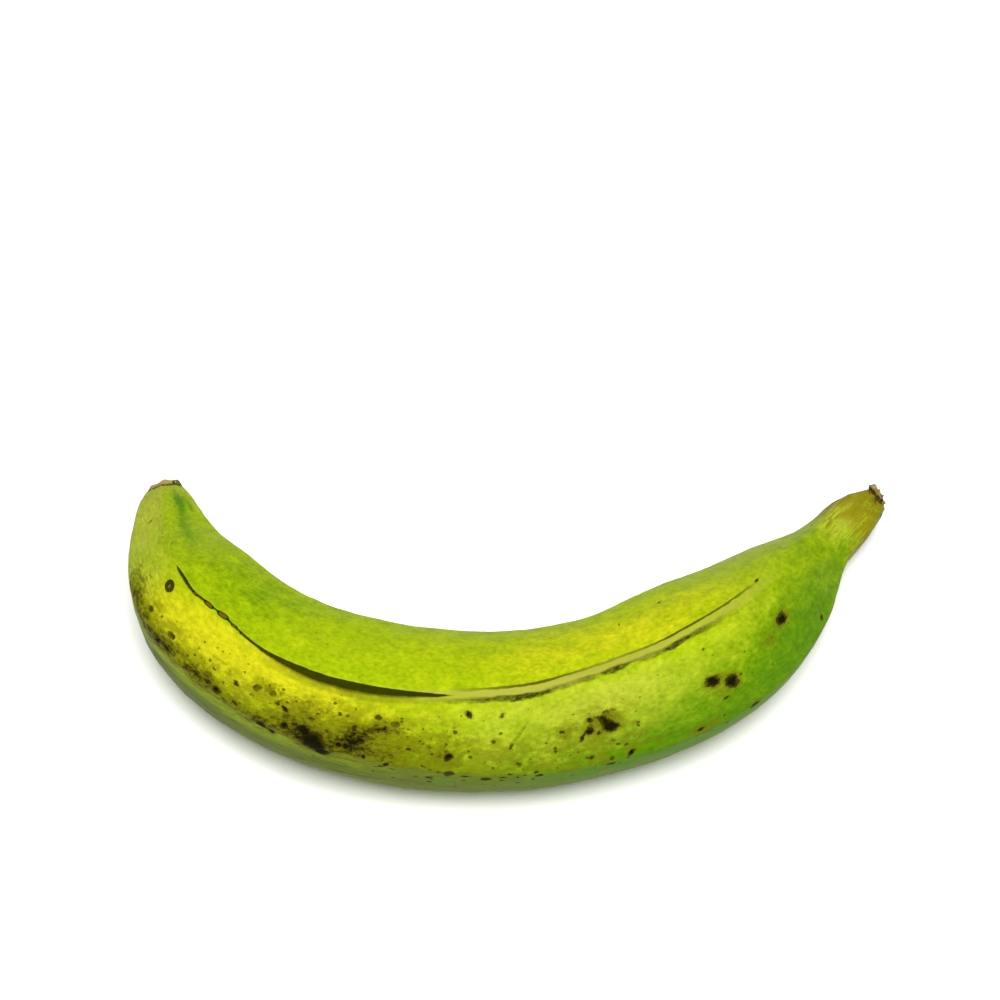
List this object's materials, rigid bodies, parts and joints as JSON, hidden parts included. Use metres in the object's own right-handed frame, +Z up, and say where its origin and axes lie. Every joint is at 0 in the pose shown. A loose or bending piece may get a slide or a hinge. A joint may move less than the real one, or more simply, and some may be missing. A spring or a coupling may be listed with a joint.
{
  "type": "green plantain banana",
  "caption": "Curved five-ridged plantain lying on its side, with a cut stem at one end and a dried flower scar at the other.",
  "frame": {"origin": "on the surface it lies on, under the middle of the fruit's box", "axes": "+X along the fruit from the cut stem to the flower scar, +Y to the inside of its curve, +Z up from the surface"},
  "size_m": [0.218, 0.1014, 0.0446],
  "materials": {
    "peel": "satin"
  },
  "bodies": {
    "root": {"plantain": "peel"}
  },
  "joints": []
}
